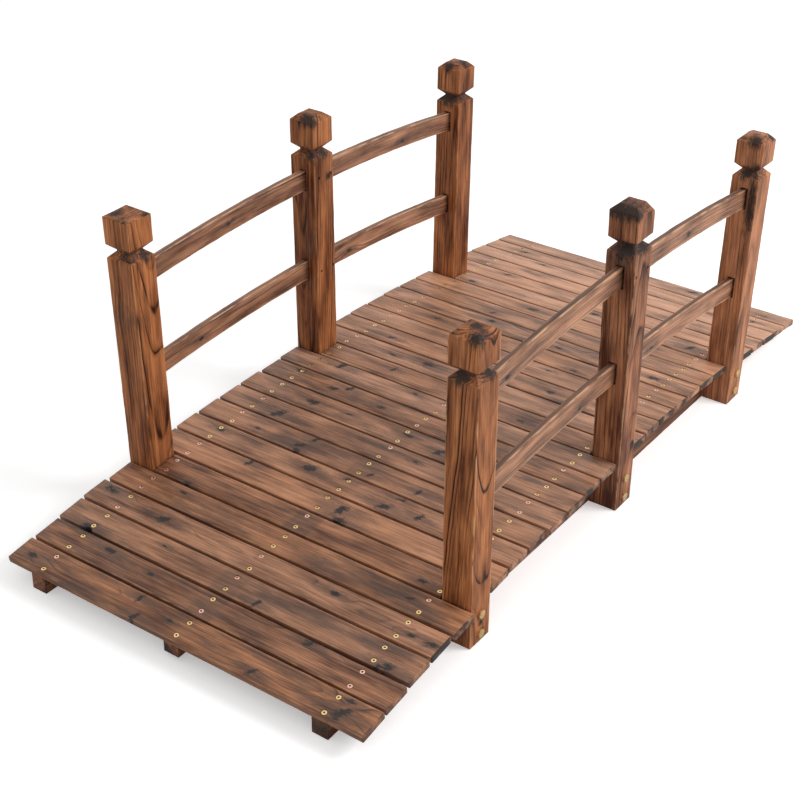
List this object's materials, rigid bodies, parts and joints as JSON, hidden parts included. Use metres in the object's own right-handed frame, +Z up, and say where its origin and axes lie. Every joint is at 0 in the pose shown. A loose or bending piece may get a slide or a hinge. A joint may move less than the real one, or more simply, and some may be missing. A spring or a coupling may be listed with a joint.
{
  "type": "arched garden footbridge",
  "caption": "Small arched wooden garden bridge: cross-board deck on arched stringers, square posts with notched heads and two arched rails on each side.",
  "frame": {"origin": "on the ground under the middle of the deck", "axes": "+X along the walkway from the near end to the far end, +Y to the left, +Z up"},
  "size_m": [1.4688, 0.6854, 0.5437],
  "materials": {
    "deck_wood": "stained and scorched fir, matt with a slight sheen",
    "stringer_wood": "stained and scorched fir, matt, dark",
    "post_wood": "stained and scorched fir, strong upright grain, charred patches on the heads",
    "rail_wood": "stained and scorched fir, grey charred edges"
  },
  "bodies": {
    "root": {"deck_board_01": "deck_wood", "deck_board_02": "deck_wood", "deck_board_03": "deck_wood", "deck_board_04": "deck_wood", "deck_board_05": "deck_wood", "deck_board_06": "deck_wood", "deck_board_07": "deck_wood", "deck_board_08": "deck_wood", "deck_board_09": "deck_wood", "deck_board_10": "deck_wood", "deck_board_11": "deck_wood", "deck_board_12": "deck_wood", "deck_board_13": "deck_wood", "deck_board_14": "deck_wood", "deck_board_15": "deck_wood", "deck_board_16": "deck_wood", "deck_board_17": "deck_wood", "deck_board_18": "deck_wood", "deck_board_19": "deck_wood", "deck_board_20": "deck_wood", "deck_board_21": "deck_wood", "deck_board_22": "deck_wood", "deck_board_23": "deck_wood", "deck_board_24": "deck_wood", "deck_board_25": "deck_wood", "deck_board_26": "deck_wood", "deck_board_27": "deck_wood", "left_stringer": "stringer_wood", "middle_stringer": "stringer_wood", "right_stringer": "stringer_wood", "near_left_post": "post_wood", "middle_left_post": "post_wood", "far_left_post": "post_wood", "near_right_post": "post_wood", "middle_right_post": "post_wood", "far_right_post": "post_wood", "near_left_upper_rail": "rail_wood", "near_left_lower_rail": "rail_wood", "far_left_upper_rail": "rail_wood", "far_left_lower_rail": "rail_wood", "near_right_upper_rail": "rail_wood", "near_right_lower_rail": "rail_wood", "far_right_upper_rail": "rail_wood", "far_right_lower_rail": "rail_wood"}
  },
  "joints": []
}
